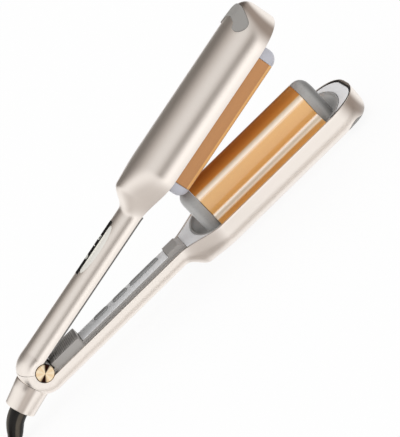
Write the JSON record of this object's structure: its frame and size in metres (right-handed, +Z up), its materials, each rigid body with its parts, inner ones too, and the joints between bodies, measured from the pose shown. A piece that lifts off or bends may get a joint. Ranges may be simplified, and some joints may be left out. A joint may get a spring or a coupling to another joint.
{
  "type": "hair waver",
  "caption": "Two hinged arms that wave hair: a tall heated dome closes between two heated rails, with a control panel, display and swivelling cord.",
  "frame": {"origin": "centre of the flat rest face under the lower barrel casing", "axes": "+X along the lower arm towards the tips, +Y across the arms, parallel to the hinge axis, +Z up through both arms"},
  "size_m": [0.4701, 0.097, 0.117],
  "materials": {
    "champagne": "satin champagne lacquer on moulded plastic",
    "gold_ceramic": "glossy gold ceramic coating",
    "dark_grey": "satin heat-resistant plastic",
    "light_grey": "satin plastic",
    "lavender_grey": "satin heat-resistant plastic",
    "grip_grey": "fine-grained cool-touch plastic",
    "button_grey": "soft-touch",
    "black_lens": "glossy",
    "digits": "lit segments",
    "hinge_gold": "radially brushed",
    "boot_black": "glossy",
    "cord_black": "satin PVC",
    "steel": "plain",
    "bronze": "sintered bronze",
    "board": "solder mask",
    "switch_black": "plain",
    "heater_ceramic": "unglazed",
    "aluminium": "plain",
    "wire_red": "silicone",
    "pin_brass": "bright",
    "swivel_black": "plain"
  },
  "bodies": {
    "lower_arm": {"lower_casing": "champagne", "lower_tip_insert": "grip_grey", "lower_tray_rear": "light_grey", "lower_tray_tip": "light_grey", "lower_heating_plate": "gold_ceramic", "lower_end_cap_rear": "dark_grey", "lower_end_cap_tip": "dark_grey", "lower_heater": "heater_ceramic", "lower_heater_clamp": "aluminium", "thermal_fuse": "heater_ceramic", "lower_handle_frame": "dark_grey", "control_panel": "light_grey", "control_board": "board", "tact_switches": "switch_black", "lower_wires": "wire_red", "frame_screws": "steel", "hinge_pin": "steel", "hinge_caps": "hinge_gold", "torsion_spring": "steel", "swivel_collar": "champagne", "strain_relief": "boot_black", "cord_lead": "cord_black", "cord_coil": "cord_black", "cord_tail": "cord_black", "cord_tie": "cord_black", "plug_body": "cord_black", "plug_pins": "pin_brass"},
    "upper_arm": {"upper_casing": "champagne", "upper_tip_insert": "grip_grey", "upper_tray_rear": "light_grey", "upper_tray_tip": "light_grey", "upper_heating_plate": "gold_ceramic", "upper_end_cap_rear": "lavender_grey", "upper_end_cap_tip": "lavender_grey", "upper_heaters": "heater_ceramic", "upper_heater_clamps": "aluminium", "upper_thermistor": "switch_black", "upper_handle_frame": "dark_grey", "upper_wires": "wire_red", "upper_screws": "steel", "hinge_bushes": "bronze", "display_lens": "black_lens", "display_board": "board", "display_digits": "digits"},
    "power_button": {"power_button": "button_grey"},
    "mode_button": {"mode_button": "button_grey"},
    "temperature_rocker": {"temperature_rocker": "button_grey"},
    "swivel": {"swivel_ferrule": "swivel_black", "swivel_clip": "steel"}
  },
  "joints": [
    {"name": "arm_hinge", "type": "hinge", "parent": "lower_arm", "child": "upper_arm", "pos_m": [-0.21, 0, 0.0291], "axis": [0, 1, 0], "range_deg": [0, 12.4], "stiffness_Nm_per_rad": 1, "springref_deg": -28.65, "deforming": ["torsion_spring"]},
    {"name": "power_press", "type": "slide", "parent": "lower_arm", "child": "power_button", "axis": [0, 0, -1], "range_m": [0, 0.0006], "stiffness_N_per_m": 800, "springref_m": -0.001},
    {"name": "mode_press", "type": "slide", "parent": "lower_arm", "child": "mode_button", "axis": [0, 0, -1], "range_m": [0, 0.0006], "stiffness_N_per_m": 800, "springref_m": -0.001},
    {"name": "temperature_rock", "type": "hinge", "parent": "lower_arm", "child": "temperature_rocker", "pos_m": [-0.1138, 0, 0.02401], "axis": [0, 1, 0], "range_deg": [-2, 2], "stiffness_Nm_per_rad": 0.05},
    {"name": "cord_swivel", "type": "hinge", "parent": "lower_arm", "child": "swivel", "pos_m": [-0.2289, 0, 0.02256], "axis": [-0.9449, 0, -0.3272], "continuous": true}
  ]
}
